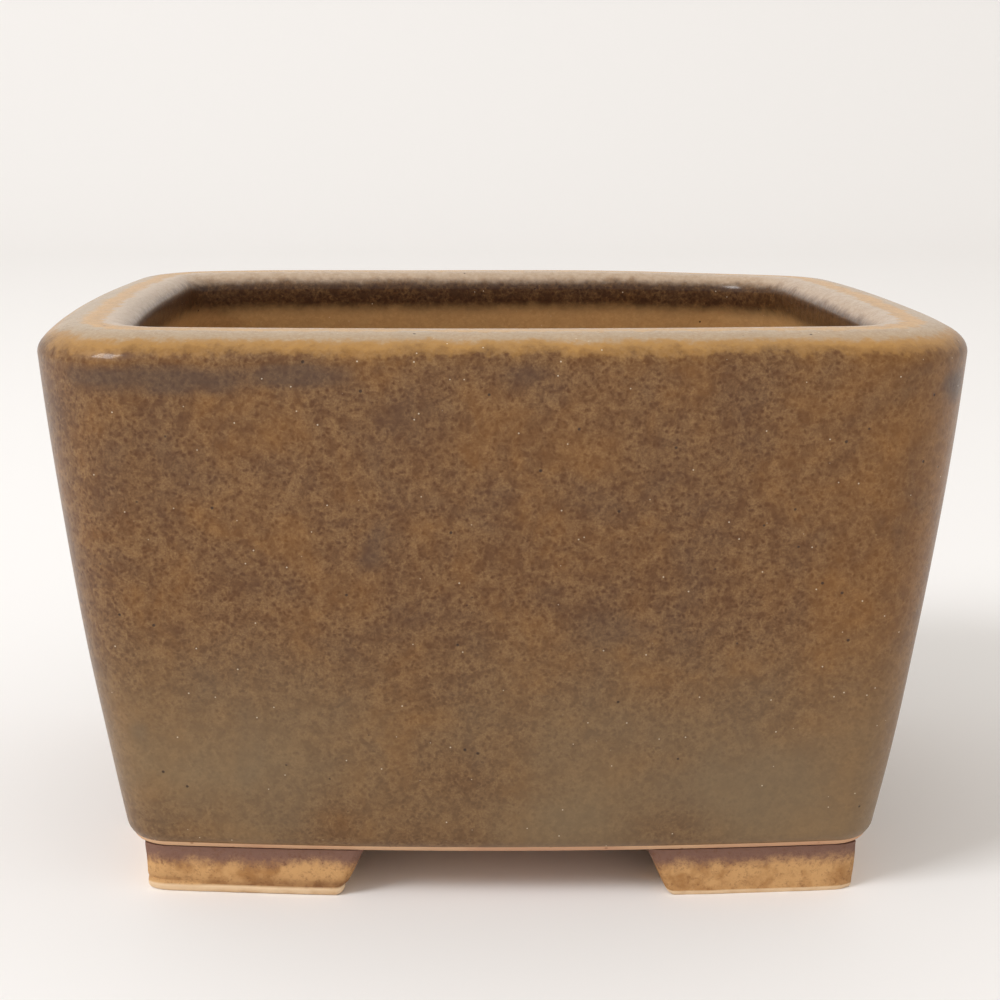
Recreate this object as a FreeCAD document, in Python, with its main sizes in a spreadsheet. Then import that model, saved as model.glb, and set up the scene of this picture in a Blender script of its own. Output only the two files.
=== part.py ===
"""Rectangular bonsai pot, built from slabs of stoneware clay and glazed.

The pot is a floor slab, four wall slabs mitred at the corners, four lip strips that turn inward over
the walls, a coil of soft clay pressed into the floor joint, four corner feet, and one coat of glaze.
Frame: millimetres, +Z up, -Y is the front, the origin is the middle of the footprint on the table.
"""

import FreeCAD, Part

import math
import os

import Sketcher
from FreeCAD import Placement, Rotation, Vector

OUT = "parts"
X_AXIS, Y_AXIS, ORIGIN = -1, -2, -1
START, END, CENTRE = 1, 2, 3
TINY = 1e-3

# Driving dimensions: alias, millimetres, meaning.
SIZES = (
    ("pot_width", 92.6, "width over the glaze at the lip, before its edge is rounded"),
    ("pot_depth", 78.6, "depth over the glaze at the lip, before its edge is rounded"),
    ("pot_height", 57.6, "table to the top of the lip"),
    ("front_bow", 350.0, "plan radius of the front and rear faces, which bulge a little"),
    ("end_bow", 300.0, "plan radius of the left and right faces"),
    ("glaze", 0.4, "thickness of the glaze coat"),
    ("glaze_start", 0.35, "bare clay left under the glaze at the foot of the wall"),
    ("glaze_inside", 16.0, "how far below the lip the glaze runs down the inside"),
    ("crest_round", 3.2, "rounding of the lip's outer edge"),
    ("waist_inset", 3.05, "how far the wall has drawn in at half height"),
    ("base_inset", 7.4, "how far the wall has drawn in at the bottom"),
    ("base_round", 1.5, "rounding of the bottom edge"),
    ("shoulder_corner", 13.0, "plan radius of the corners at the shoulder"),
    ("waist_corner", 8.2, "plan radius of the corners at half height"),
    ("base_corner", 4.6, "plan radius of the corners at the bottom"),
    ("floor_thick", 5.0, "thickness of the floor slab"),
    ("wall_top", 4.6, "clay thickness of the wall under the lip"),
    ("wall_base", 5.4, "clay thickness of the wall at the floor"),
    ("cavity_corner", 8.0, "plan radius of the inside corners under the lip"),
    ("cavity_base_corner", 5.4, "plan radius of the inside corners at the floor"),
    ("coil_round", 4.0, "radius of the soft coil in the floor joint"),
    ("lip_thick", 3.8, "thickness of the lip strips"),
    ("lip_width", 8.4, "clay width of the lip strips"),
    ("mouth_corner", 6.5, "plan radius of the corners of the mouth"),
    ("nose_top", 1.9, "rounding of the lip's inner edge, above"),
    ("nose_under", 1.3, "rounding of the lip's inner edge, below"),
    ("foot_height", 5.0, "height of the feet"),
    ("foot_inset", 8.9, "how far the feet stand inside the shoulder"),
    ("foot_taper", 0.3, "how much the feet draw in at the table"),
    ("foot_corner", 3.2, "outer plan radius of the feet"),
    ("foot_wall", 8.0, "thickness of each leg of a foot"),
    ("foot_soften", 0.8, "rounding of the edges that meet the table"),
    ("front_gap", 29.2, "gap between the feet at the front and rear, under the pot"),
    ("side_gap", 22.0, "gap between the feet at the ends, under the pot"),
    ("gap_slope", 2.4, "how much each foot's end slopes back from top to bottom"),
    ("drain_radius", 7.0, "radius of the drainage hole"),
    ("hole_break", 0.7, "chamfer on the rims of the holes in the floor"),
    ("wire_radius", 1.5, "radius of the two holes for the tie wire"),
    ("wire_spacing", 40.0, "distance between the two tie-wire holes"),
)

HALF_WIDTH = "Sizes.pot_width / 2"
HALF_DEPTH = "Sizes.pot_depth / 2"
FLOOR_TOP = "Sizes.foot_height + Sizes.floor_thick"
WALL_TOP = "Sizes.pot_height - Sizes.glaze - Sizes.lip_thick"
QUARTERS = ("front", "right", "rear", "left")


def make_sheet(doc):
    """The spreadsheet that drives every size."""
    sheet = doc.addObject("Spreadsheet::Sheet", "Sizes")
    for row, (alias, value, meaning) in enumerate(SIZES, start=1):
        sheet.set(f"A{row}", meaning)
        sheet.set(f"B{row}", str(value))
        sheet.setAlias(f"B{row}", alias)
    doc.recompute()
    return sheet


def worth(sheet, expression):
    """What an expression on the sheet comes to, as a plain number."""
    found = sheet.evalExpression(expression)
    return float(getattr(found, "Value", found))


def bind(thing, bindings):
    """Ties properties of a document object to expressions on the sheet."""
    for name, expression in bindings.items():
        thing.setExpression(name, expression)


def origin_plane(body, role):
    return next(f for f in body.Origin.OriginFeatures if f.Role == role)


def corner_centre(half_w, half_d, bow_front, bow_end, corner):
    """Centre of the arc that rounds the corner between two bowed faces, found by Newton's method."""
    x, y = half_w - corner, half_d - corner
    rear_y, right_x = bow_front - half_d, bow_end - half_w
    for _ in range(20):
        to_rear, to_right = math.hypot(x, y + rear_y), math.hypot(x + right_x, y)
        off_rear, off_right = to_rear - (bow_front - corner), to_right - (bow_end - corner)
        a, b = x / to_rear, (y + rear_y) / to_rear
        c, d = (x + right_x) / to_right, y / to_right
        det = a * d - b * c
        x -= (off_rear * d - off_right * b) / det
        y -= (a * off_right - c * off_rear) / det
    return x, y


def outline_arcs(half_w, half_d, bow_front, bow_end, corner):
    """Eight arcs, anticlockwise from the right face: bowed faces joined by tangent corners."""
    cx, cy = corner_centre(half_w, half_d, bow_front, bow_end, corner)
    rear_y, right_x = bow_front - half_d, bow_end - half_w
    rear, right = math.atan2(cy + rear_y, cx), math.atan2(cy, cx + right_x)
    turn = math.pi
    plan = (
        (-right_x, 0, bow_end, -right, right),
        (cx, cy, corner, right, rear),
        (0, -rear_y, bow_front, rear, turn - rear),
        (-cx, cy, corner, turn - rear, turn - right),
        (right_x, 0, bow_end, turn - right, turn + right),
        (-cx, -cy, corner, turn + right, turn + rear),
        (0, rear_y, bow_front, turn + rear, 2 * turn - rear),
        (cx, -cy, corner, 2 * turn - rear, 2 * turn - right),
    )
    up = Vector(0, 0, 1)
    return [Part.ArcOfCircle(Part.Circle(Vector(x, y, 0), up, r), lo, hi) for x, y, r, lo, hi in plan]


def outline_sketch(body, sheet, name, height, inset, corner):
    """A bowed, round-cornered rectangle, drawn in by inset, at a height: all three are expressions."""
    sketch = body.newObject("Sketcher::SketchObject", name)
    sketch.AttachmentSupport = [(origin_plane(body, "XY_Plane"), "")]
    sketch.MapMode = "FlatFace"
    sketch.setExpression("AttachmentOffset.Base.z", height)
    half_w, half_d = f"({HALF_WIDTH} - ({inset}))", f"({HALF_DEPTH} - ({inset}))"
    rules = {
        "corner": corner,
        "bow_front": "Sizes.front_bow",
        "bow_end": "Sizes.end_bow",
        "to_right": f"Sizes.end_bow - {half_w}",
        "to_left": f"Sizes.end_bow - {half_w}",
        "to_rear": f"Sizes.front_bow - {half_d}",
        "to_front": f"Sizes.front_bow - {half_d}",
    }
    now = {rule: worth(sheet, expression) for rule, expression in rules.items()}
    arcs = outline_arcs(
        worth(sheet, half_w), worth(sheet, half_d), now["bow_front"], now["bow_end"], now["corner"]
    )
    sketch.addGeometry(arcs, False)
    rule = Sketcher.Constraint
    for arc in range(8):
        sketch.addConstraint(rule("Tangent", arc, END, (arc + 1) % 8, START))
    for first, others in ((1, (3, 5, 7)), (2, (6,)), (0, (4,))):
        for other in others:
            sketch.addConstraint(rule("Equal", first, other))
    for arc, axis in ((0, X_AXIS), (4, X_AXIS), (2, Y_AXIS), (6, Y_AXIS)):
        sketch.addConstraint(rule("PointOnObject", arc, CENTRE, axis))
    sized = {
        "corner": rule("Radius", 1, now["corner"]),
        "bow_front": rule("Radius", 2, now["bow_front"]),
        "bow_end": rule("Radius", 0, now["bow_end"]),
        "to_right": rule("DistanceX", 0, CENTRE, ORIGIN, START, now["to_right"]),
        "to_left": rule("DistanceX", ORIGIN, START, 4, CENTRE, now["to_left"]),
        "to_rear": rule("DistanceY", 2, CENTRE, ORIGIN, START, now["to_rear"]),
        "to_front": rule("DistanceY", ORIGIN, START, 6, CENTRE, now["to_front"]),
    }
    for label, constraint in sized.items():
        sketch.renameConstraint(sketch.addConstraint(constraint), label)
        sketch.setExpression(f"Constraints.{label}", rules[label])
    return sketch


def level_edges(shape, height):
    """Names of the edges that lie flat at a height."""
    return [
        f"Edge{number}"
        for number, edge in enumerate(shape.Edges, start=1)
        if abs(edge.BoundBox.ZMin - height) < TINY and abs(edge.BoundBox.ZMax - height) < TINY
    ]


def lofted_body(doc, sheet, name, levels):
    """A body lofted downward through outline sketches, given from the top as (height, inset, corner)."""
    body = doc.addObject("PartDesign::Body", name)
    sketches = [
        outline_sketch(body, sheet, f"{name}_level_{number}", *level) for number, level in enumerate(levels)
    ]
    loft = body.newObject("PartDesign::AdditiveLoft", f"{name}_loft")
    loft.Profile = sketches[0]
    loft.Sections = sketches[1:]
    doc.recompute()
    return body, loft


def round_level(doc, sheet, body, base, name, height, radius):
    """A fillet on every edge of base that lies at a height."""
    fillet = body.newObject("PartDesign::Fillet", name)
    fillet.Base = (base, level_edges(base.Shape, worth(sheet, height)))
    fillet.setExpression("Radius", radius)
    doc.recompute()
    return fillet


def outer_form(doc, sheet, name, skin):
    """The pot's outside as a solid block, skin millimetres inside the glazed surface."""
    top, bottom = f"Sizes.pot_height - {skin}", "Sizes.foot_height"
    waist = "(Sizes.pot_height + Sizes.foot_height) / 2"
    levels = [
        (top, skin, f"Sizes.shoulder_corner - {skin}"),
        (waist, f"Sizes.waist_inset + {skin}", f"Sizes.waist_corner - {skin}"),
        (bottom, f"Sizes.base_inset + {skin}", f"Sizes.base_corner - {skin}"),
    ]
    body, loft = lofted_body(doc, sheet, name, levels)
    crest = round_level(doc, sheet, body, loft, f"{name}_crest", top, f"Sizes.crest_round - {skin}")
    round_level(doc, sheet, body, crest, f"{name}_base", bottom, f"Sizes.base_round - {skin}")
    return body


def cavity_form(doc, sheet, name, skin, soft=False):
    """The hollow of the pot as a solid block, skin millimetres inside the clay; soft rounds its floor."""
    levels = [
        (WALL_TOP, f"Sizes.glaze + Sizes.wall_top + {skin}", f"Sizes.cavity_corner - {skin}"),
        (
            FLOOR_TOP,
            f"Sizes.base_inset + Sizes.glaze + Sizes.wall_base + {skin}",
            f"Sizes.cavity_base_corner - {skin}",
        ),
    ]
    body, loft = lofted_body(doc, sheet, name, levels)
    if soft:
        round_level(doc, sheet, body, loft, f"{name}_round", FLOOR_TOP, "Sizes.coil_round")
    return body


def mouth_form(doc, sheet, name, skin):
    """The opening through the lip as a prism, skin millimetres inside the clay."""
    body = doc.addObject("PartDesign::Body", name)
    inset = f"Sizes.glaze + Sizes.lip_width + {skin}"
    sketch = outline_sketch(
        body, sheet, f"{name}_outline", FLOOR_TOP, inset, f"Sizes.mouth_corner - {skin}"
    )
    pad = body.newObject("PartDesign::Pad", f"{name}_pad")
    pad.Profile = sketch
    pad.setExpression("Length", "Sizes.pot_height")
    doc.recompute()
    return body


def slab_box(doc, name, low, high):
    """A block as wide as the pot and more, between two heights."""
    box = doc.addObject("Part::Box", name)
    bind(
        box,
        {
            "Length": "Sizes.pot_width * 2",
            "Width": "Sizes.pot_depth * 2",
            "Height": f"({high}) - ({low})",
            "Placement.Base.x": "-Sizes.pot_width",
            "Placement.Base.y": "-Sizes.pot_depth",
            "Placement.Base.z": low,
        },
    )
    return box


def combine(doc, kind, name, base, tool):
    """A boolean of two objects: kind is Cut, Common or Fuse."""
    made = doc.addObject(f"Part::{kind}", name)
    made.Base, made.Tool = base, tool
    return made


def mitre_wedge(doc, name, quarter, low, high):
    """A block whose ends are cut at 45 degrees through the pot's corners, on one side of the pot."""
    across, out = (HALF_WIDTH, HALF_DEPTH) if quarter % 2 == 0 else (HALF_DEPTH, HALF_WIDTH)
    beyond, inward = "Sizes.lip_width", "Sizes.lip_width * 2"
    wedge = doc.addObject("Part::Wedge", name)
    bind(
        wedge,
        {
            "Xmin": f"-({across} + {beyond})",
            "Xmax": f"{across} + {beyond}",
            "X2min": f"-({across} - {inward})",
            "X2max": f"{across} - {inward}",
            "Ymin": f"-({out} + {beyond})",
            "Ymax": f"-({out} - {inward})",
            "Zmin": low,
            "Z2min": low,
            "Zmax": high,
            "Z2max": high,
        },
    )
    wedge.Placement = Placement(Vector(), Rotation(Vector(0, 0, 1), 90 * quarter))
    return wedge


def soft_nose(doc, sheet, name, ring, top, under, skin):
    """The lip ring with the edges of its mouth rounded above and below."""
    doc.recompute()
    fillet = doc.addObject("Part::Fillet", name)
    fillet.Base = ring
    mouth_x = worth(sheet, f"{HALF_WIDTH} - Sizes.lip_width")
    mouth_y = worth(sheet, f"{HALF_DEPTH} - Sizes.lip_width")
    rounds = []
    for height, radius in ((top, f"Sizes.nose_top + {skin}"), (under, f"Sizes.nose_under + {skin}")):
        for edge in level_edges(ring.Shape, worth(sheet, height)):
            bounds = ring.Shape.getElement(edge).BoundBox
            reach_x, reach_y = max(bounds.XMax, -bounds.XMin), max(bounds.YMax, -bounds.YMin)
            if reach_x < mouth_x and reach_y < mouth_y:
                rounds.append((int(edge[4:]), worth(sheet, radius), worth(sheet, radius)))
    fillet.Edges = rounds
    doc.recompute()
    return fillet


def lip_ring(doc, sheet, name, form, mouth, under, skin):
    """The inward lip all the way round, cut from an outer form."""
    top = f"Sizes.pot_height - Sizes.glaze + {skin}"
    band = combine(doc, "Common", f"{name}_band", form, slab_box(doc, f"{name}_slab", under, top))
    ring = combine(doc, "Cut", f"{name}_ring", band, mouth)
    return soft_nose(doc, sheet, f"{name}_soft", ring, top, under, skin)


def make_walls_and_lip(doc, sheet, clay_form, cavity, mouth):
    """Four wall slabs and four lip strips, each mitred at the corners."""
    shell = combine(doc, "Cut", "clay_shell", clay_form, cavity)
    lip = lip_ring(doc, sheet, "clay_lip", clay_form, mouth, WALL_TOP, "0")
    pieces = []
    for quarter, side in enumerate(QUARTERS):
        wall_wedge = mitre_wedge(doc, f"wall_wedge_{side}", quarter, FLOOR_TOP, WALL_TOP)
        lip_wedge = mitre_wedge(doc, f"lip_wedge_{side}", quarter, WALL_TOP, "Sizes.pot_height")
        pieces.append(combine(doc, "Common", f"wall_{side}", shell, wall_wedge))
        pieces.append(combine(doc, "Common", f"lip_{side}", lip, lip_wedge))
    return pieces, shell, lip


def hole_tool(doc, name, radius, x):
    """A drill for a floor hole: a cylinder with a cone at each rim to break its edges."""
    low, high = "Sizes.foot_height", FLOOR_TOP
    bore = doc.addObject("Part::Cylinder", f"{name}_bore")
    bind(
        bore,
        {
            "Radius": radius,
            "Height": "Sizes.floor_thick * 2",
            "Placement.Base.x": x,
            "Placement.Base.z": f"{low} - Sizes.floor_thick / 2",
        },
    )
    tools = [bore]
    for end, height in (("lower", low), ("upper", f"{high} - Sizes.hole_break")):
        cone = doc.addObject("Part::Cone", f"{name}_{end}_rim")
        wide, narrow = f"{radius} + Sizes.hole_break", radius
        bind(
            cone,
            {
                "Radius1": wide if end == "lower" else narrow,
                "Radius2": narrow if end == "lower" else wide,
                "Height": "Sizes.hole_break",
                "Placement.Base.x": x,
                "Placement.Base.z": height,
            },
        )
        tools.append(cone)
    return tools


def make_floor(doc, clay_form):
    """The floor slab, with its drainage hole and two tie-wire holes."""
    slab = slab_box(doc, "floor_block", "Sizes.foot_height", FLOOR_TOP)
    blank = combine(doc, "Common", "floor_blank", clay_form, slab)
    drills = doc.addObject("Part::MultiFuse", "floor_drills")
    drills.Shapes = (
        hole_tool(doc, "drain", "Sizes.drain_radius", "0 * Sizes.wire_spacing")
        + hole_tool(doc, "wire_left", "Sizes.wire_radius", "-Sizes.wire_spacing / 2")
        + hole_tool(doc, "wire_right", "Sizes.wire_radius", "Sizes.wire_spacing / 2")
    )
    return combine(doc, "Cut", "floor_slab", blank, drills)


def gap_form(doc, sheet, name, width, along):
    """The gap between two feet as a prism whose ends slope: wider at the table than under the pot."""
    body = doc.addObject("PartDesign::Body", name)
    sketch = body.newObject("Sketcher::SketchObject", f"{name}_section")
    plane = "XZ_Plane" if along == "y" else "YZ_Plane"
    sketch.AttachmentSupport = [(origin_plane(body, plane), "")]
    sketch.MapMode = "FlatFace"
    height, half = worth(sheet, "Sizes.foot_height"), worth(sheet, f"{width} / 2")
    slope = worth(sheet, "Sizes.gap_slope")
    corners = [
        Vector(-half - slope, 0, 0),
        Vector(half + slope, 0, 0),
        Vector(half, height, 0),
        Vector(-half, height, 0),
    ]
    for number, corner in enumerate(corners):
        sketch.addGeometry(Part.LineSegment(corner, corners[(number + 1) % 4]), False)
    rule = Sketcher.Constraint
    for number in range(4):
        sketch.addConstraint(rule("Coincident", number, END, (number + 1) % 4, START))
    sketch.addConstraint(rule("Symmetric", 0, START, 0, END, Y_AXIS))
    sketch.addConstraint(rule("Symmetric", 2, START, 2, END, Y_AXIS))
    sketch.addConstraint(rule("PointOnObject", 0, START, X_AXIS))
    sized = {
        "top": (rule("DistanceX", 2, END, 2, START, 2 * half), width),
        "bottom": (rule("DistanceX", 0, START, 0, END, 2 * (half + slope)), f"{width} + 2 * Sizes.gap_slope"),
        "height": (rule("DistanceY", 1, START, 1, END, height), "Sizes.foot_height"),
    }
    for label, (constraint, expression) in sized.items():
        sketch.renameConstraint(sketch.addConstraint(constraint), label)
        sketch.setExpression(f"Constraints.{label}", expression)
    pad = body.newObject("PartDesign::Pad", f"{name}_pad")
    pad.Profile = sketch
    pad.Midplane = True
    pad.setExpression("Length", "Sizes.pot_width * 2")
    doc.recompute()
    return body


def make_feet(doc, sheet):
    """Four corner feet: a tapered band cut through by a gap on each side of the pot."""
    levels = [
        ("Sizes.foot_height", "Sizes.foot_inset", "Sizes.foot_corner"),
        ("0 * Sizes.foot_height", "Sizes.foot_inset + Sizes.foot_taper", "Sizes.foot_corner - Sizes.foot_taper"),
    ]
    outer, _ = lofted_body(doc, sheet, "foot_outer", levels)
    within = "Sizes.foot_inset + Sizes.foot_wall"
    inner_corner = "Sizes.foot_corner / 2"
    inner_levels = [
        ("Sizes.foot_height", within, inner_corner),
        ("0 * Sizes.foot_height", f"{within} - Sizes.foot_taper", inner_corner),
    ]
    inner, _ = lofted_body(doc, sheet, "foot_inner", inner_levels)
    band = combine(doc, "Cut", "foot_band", outer, inner)
    gaps = doc.addObject("Part::MultiFuse", "foot_gaps")
    gaps.Shapes = [
        gap_form(doc, sheet, "gap_front_rear", "Sizes.front_gap", "y"),
        gap_form(doc, sheet, "gap_ends", "Sizes.side_gap", "x"),
    ]
    cut_band = combine(doc, "Cut", "foot_cut_band", band, gaps)
    feet = []
    for name, x, y in (
        ("front_left", "-Sizes.pot_width", "-Sizes.pot_depth"),
        ("front_right", "0 * Sizes.pot_width", "-Sizes.pot_depth"),
        ("rear_left", "-Sizes.pot_width", "0 * Sizes.pot_depth"),
        ("rear_right", "0 * Sizes.pot_width", "0 * Sizes.pot_depth"),
    ):
        box = doc.addObject("Part::Box", f"quadrant_{name}")
        bind(
            box,
            {
                "Length": "Sizes.pot_width",
                "Width": "Sizes.pot_depth",
                "Height": "Sizes.foot_height",
                "Placement.Base.x": x,
                "Placement.Base.y": y,
            },
        )
        blank = combine(doc, "Common", f"foot_blank_{name}", cut_band, box)
        doc.recompute()
        foot = doc.addObject("Part::Fillet", f"foot_{name}")
        foot.Base = blank
        soften = worth(sheet, "Sizes.foot_soften")
        foot.Edges = [(int(edge[4:]), soften, soften) for edge in level_edges(blank.Shape, 0)]
        feet.append(foot)
    return feet


def make_glaze(doc, sheet, glaze_form, clay_form, clay_shell, clay_lip):
    """One coat over the outside and the lip and part way down the inside."""
    skin = "Sizes.glaze"
    cavity = cavity_form(doc, sheet, "glaze_cavity", skin)
    mouth = mouth_form(doc, sheet, "glaze_mouth", skin)
    under = f"{WALL_TOP} - Sizes.glaze"
    lip = lip_ring(doc, sheet, "glaze_lip", glaze_form, mouth, under, skin)
    hollow = combine(doc, "Cut", "glaze_shell", glaze_form, cavity)
    start = "Sizes.foot_height + Sizes.glaze_start"
    walls = combine(doc, "Common", "glaze_walls", hollow, slab_box(doc, "glaze_height", start, under))
    outside = combine(doc, "Fuse", "glaze_outside", walls, lip)
    glaze_line = f"{WALL_TOP} - Sizes.glaze_inside"
    low_slab = slab_box(doc, "bare_height", "Sizes.foot_height", glaze_line)
    bare_core = combine(doc, "Common", "bare_core", clay_form, low_slab)
    wall_slab = slab_box(doc, "clay_wall_height", FLOOR_TOP, WALL_TOP)
    clay_walls = combine(doc, "Common", "clay_walls", clay_shell, wall_slab)
    clay = doc.addObject("Part::MultiFuse", "clay_under_glaze")
    clay.Shapes = [bare_core, clay_walls, clay_lip]
    return combine(doc, "Cut", "glaze_coat", outside, clay)


def check_and_write(doc, pieces):
    """Stops on any failed object or bad shape, then writes one STEP file for each piece."""
    failed = [o.Label for o in doc.Objects if {"Invalid", "Error"} & set(o.State)]
    if failed:
        raise RuntimeError(f"failed objects: {failed}")
    for piece in pieces:
        shape = piece.Shape
        if shape.isNull() or not shape.isValid() or shape.Volume <= 0 or len(shape.Solids) != 1:
            raise RuntimeError(f"{piece.Label}: null, invalid, or not one solid ({len(shape.Solids)})")
    os.makedirs(OUT, exist_ok=True)
    for piece in pieces:
        piece.Shape.Solids[0].exportStep(os.path.join(OUT, f"{piece.Label}.step"))
        box = piece.Shape.optimalBoundingBox()
        size = [round(v, 2) for v in (box.XLength, box.YLength, box.ZLength)]
        print(f"{piece.Label}: {size} mm, {round(piece.Shape.Volume)} mm3")


def main():
    doc = FreeCAD.newDocument("bonsai_pot")
    sheet = make_sheet(doc)
    clay_form = outer_form(doc, sheet, "clay_form", "Sizes.glaze")
    glaze_form = outer_form(doc, sheet, "glaze_form", "0")
    cavity = cavity_form(doc, sheet, "clay_cavity", "0")
    soft_cavity = cavity_form(doc, sheet, "soft_cavity", "0", soft=True)
    mouth = mouth_form(doc, sheet, "clay_mouth", "0")
    pieces, clay_shell, clay_lip = make_walls_and_lip(doc, sheet, clay_form, cavity, mouth)
    pieces.append(make_floor(doc, clay_form))
    pieces.append(combine(doc, "Cut", "floor_coil", cavity, soft_cavity))
    pieces.extend(make_feet(doc, sheet))
    pieces.append(make_glaze(doc, sheet, glaze_form, clay_form, clay_shell, clay_lip))
    doc.recompute()
    check_and_write(doc, pieces)


main()
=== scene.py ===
"""A small rectangular bonsai pot of slab-built stoneware, glazed brown and standing on bare clay feet.

Lengths are millimetres in the classes below and become metres when a mesh is made.
"""

from __future__ import annotations

import logging
import math
from dataclasses import dataclass, field
from enum import Enum
from typing import Iterable, Sequence

import bpy
import numpy as np
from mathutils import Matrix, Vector

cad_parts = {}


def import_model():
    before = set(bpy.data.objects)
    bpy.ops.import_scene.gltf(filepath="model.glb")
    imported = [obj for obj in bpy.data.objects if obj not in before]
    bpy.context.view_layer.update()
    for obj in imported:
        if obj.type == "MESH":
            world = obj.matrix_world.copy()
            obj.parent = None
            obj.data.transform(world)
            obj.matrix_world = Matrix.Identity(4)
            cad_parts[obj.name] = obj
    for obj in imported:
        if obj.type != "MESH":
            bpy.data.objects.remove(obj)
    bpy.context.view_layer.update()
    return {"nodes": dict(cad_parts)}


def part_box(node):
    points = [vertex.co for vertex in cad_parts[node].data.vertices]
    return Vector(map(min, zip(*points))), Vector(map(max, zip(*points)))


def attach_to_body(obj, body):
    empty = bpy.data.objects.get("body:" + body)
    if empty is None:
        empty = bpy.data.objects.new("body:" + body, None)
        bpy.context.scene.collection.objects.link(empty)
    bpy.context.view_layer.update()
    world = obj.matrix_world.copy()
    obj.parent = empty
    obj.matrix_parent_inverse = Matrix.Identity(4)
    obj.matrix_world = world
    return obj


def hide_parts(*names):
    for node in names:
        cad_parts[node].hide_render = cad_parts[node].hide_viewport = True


LOG = logging.getLogger("bonsai_pot")
Socket = bpy.types.NodeSocket
MM = 0.001
SEED = 7


class Corner(Enum):
    """The four corners of the plan, with the signs of their x and y."""

    FRONT_LEFT = (-1, -1)
    FRONT_RIGHT = (1, -1)
    REAR_RIGHT = (1, 1)
    REAR_LEFT = (-1, 1)


class Side(Enum):
    """The four sides, anticlockwise from the front, with their place in that order."""

    FRONT = 0
    RIGHT = 1
    REAR = 2
    LEFT = 3


# -- Small tools ---------------------------------------------


def linear(colour: str) -> tuple[float, float, float, float]:
    """Turns an sRGB hex colour into the linear values that shaders take.

    Args:
        colour: six hex digits, with or without a leading hash.

    Returns:
        Linear red, green and blue, and an alpha of one.
    """
    digits = colour.lstrip("#")
    values = [int(digits[at : at + 2], 16) / 255 for at in (0, 2, 4)]
    out = [v / 12.92 if v <= 0.04045 else ((v + 0.055) / 1.055) ** 2.4 for v in values]
    return (out[0], out[1], out[2], 1.0)


def add_node(
    tree: bpy.types.NodeTree,
    kind: str,
    settings: dict | None = None,
    links: dict | None = None,
) -> bpy.types.Node:
    """Adds a node, gives it its settings and joins its inputs.

    Args:
        tree: the material's or world's node tree.
        kind: the node's type, such as ShaderNodeTexNoise.
        settings: properties of the node by name, or values of its inputs by name or number.
        links: output sockets to join, by the name or number of the input that each goes into.

    Returns:
        The new node.
    """
    node = tree.nodes.new(kind)
    for name, value in (settings or {}).items():
        if isinstance(name, str) and name in node.bl_rna.properties:
            setattr(node, name, value)
        else:
            node.inputs[name].default_value = value
    for name, source in (links or {}).items():
        tree.links.new(source, node.inputs[name])
    return node


def smooth_step(values: np.ndarray, low: float, high: float) -> np.ndarray:
    """Rises from 0 at low to 1 at high with no kink at either end.

    Args:
        values: any array.
        low: where the rise starts.
        high: where it ends.

    Returns:
        An array of the same shape.
    """
    t = np.clip((values - low) / (high - low), 0.0, 1.0)
    return t * t * (3.0 - 2.0 * t)


class SmoothNoise:
    """Seeded noise from -1 to 1 that changes gently over a distance given in millimetres."""

    LATTICE = 32

    def __init__(self, seed: int, cell: float) -> None:
        """Draws the lattice.

        Args:
            seed: fixes the draw.
            cell: millimetres between lattice points.
        """
        self.cell = cell
        self.values = np.random.default_rng(seed).uniform(-1.0, 1.0, (self.LATTICE,) * 3)

    def __call__(self, points: np.ndarray) -> np.ndarray:
        """Reads the noise.

        Args:
            points: an array of places, with x, y and z on its last axis.

        Returns:
            One value for each place.
        """
        place = points / self.cell + self.LATTICE * 4.37
        whole = np.floor(place).astype(int)
        part = place - whole
        part = part * part * part * (part * (part * 6.0 - 15.0) + 10.0)
        total = np.zeros(points.shape[:-1])
        for dx in (0, 1):
            for dy in (0, 1):
                for dz in (0, 1):
                    share = np.ones(points.shape[:-1])
                    for axis, step in enumerate((dx, dy, dz)):
                        share = share * (part[..., axis] if step else 1.0 - part[..., axis])
                    index = (whole + (dx, dy, dz)) % self.LATTICE
                    total += share * self.values[index[..., 0], index[..., 1], index[..., 2]]
        return total


def make_object(
    name: str,
    points: np.ndarray,
    faces: Sequence[Sequence[int]],
    material: bpy.types.Material,
    sharp: float = 40.0,
) -> bpy.types.Object:
    """Makes a mesh object from points in millimetres.

    Args:
        name: the piece's name.
        points: one row of x, y and z for each vertex.
        faces: the vertex numbers of each face.
        material: its finish.
        sharp: edges that turn by more than this many degrees are drawn sharp.

    Returns:
        The object, in the scene.
    """
    mesh = bpy.data.meshes.new(name)
    mesh.from_pydata((points * MM).tolist(), [], [list(face) for face in faces])
    mesh.validate()
    mesh.materials.append(material)
    mesh.shade_smooth()
    mesh.set_sharp_from_angle(angle=math.radians(sharp))
    made = bpy.data.objects.new(name, mesh)
    bpy.context.scene.collection.objects.link(made)
    return made


def store(mesh: bpy.types.Mesh, name: str, values: np.ndarray) -> None:
    """Stores an attribute on a mesh: a number, or a place of three numbers, for each vertex.

    Args:
        mesh: the mesh.
        name: the attribute's name.
        values: one value or row of values for each vertex.
    """
    kind, field_name = ("FLOAT_VECTOR", "vector") if values.shape[-1] == 3 else ("FLOAT", "value")
    layer = mesh.attributes.new(name, kind, "POINT")
    layer.data.foreach_set(field_name, values.astype(np.float32).ravel())


def into_clay(profile: np.ndarray) -> np.ndarray:
    """Unit steps square to a profile, to its clay side.

    Args:
        profile: rows of inset and height, up the outside and down the inside.

    Returns:
        One step for each row.
    """
    tangent = np.gradient(profile, axis=0)
    tangent /= np.hypot(*tangent.T)[:, None]
    return np.c_[tangent[:, 1], -tangent[:, 0]]


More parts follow.
